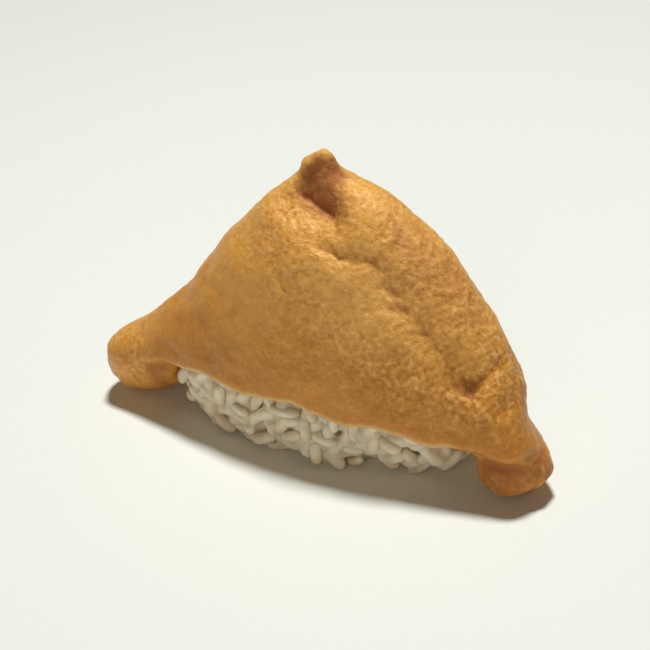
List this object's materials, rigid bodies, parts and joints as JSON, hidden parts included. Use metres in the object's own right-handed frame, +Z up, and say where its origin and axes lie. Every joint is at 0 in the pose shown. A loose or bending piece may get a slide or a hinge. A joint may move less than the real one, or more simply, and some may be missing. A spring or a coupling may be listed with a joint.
{
  "type": "inari sushi",
  "caption": "Triangular inari sushi: a simmered fried tofu pouch with a pinched corner and two empty ears, filled with vinegared rice that shows under its cut edge.",
  "frame": {"origin": "middle of the footprint, on the surface that the sushi stands on", "axes": "+Z up; +X from the left ear to the right ear, seen from the front; -Y towards the front face"},
  "size_m": [0.0844, 0.03, 0.0531],
  "materials": {
    "tofu_skin": "moist, oily and finely pebbled",
    "rice": "moist and translucent"
  },
  "bodies": {
    "root": {"pouch": "tofu_skin", "rice": "rice"}
  },
  "joints": []
}
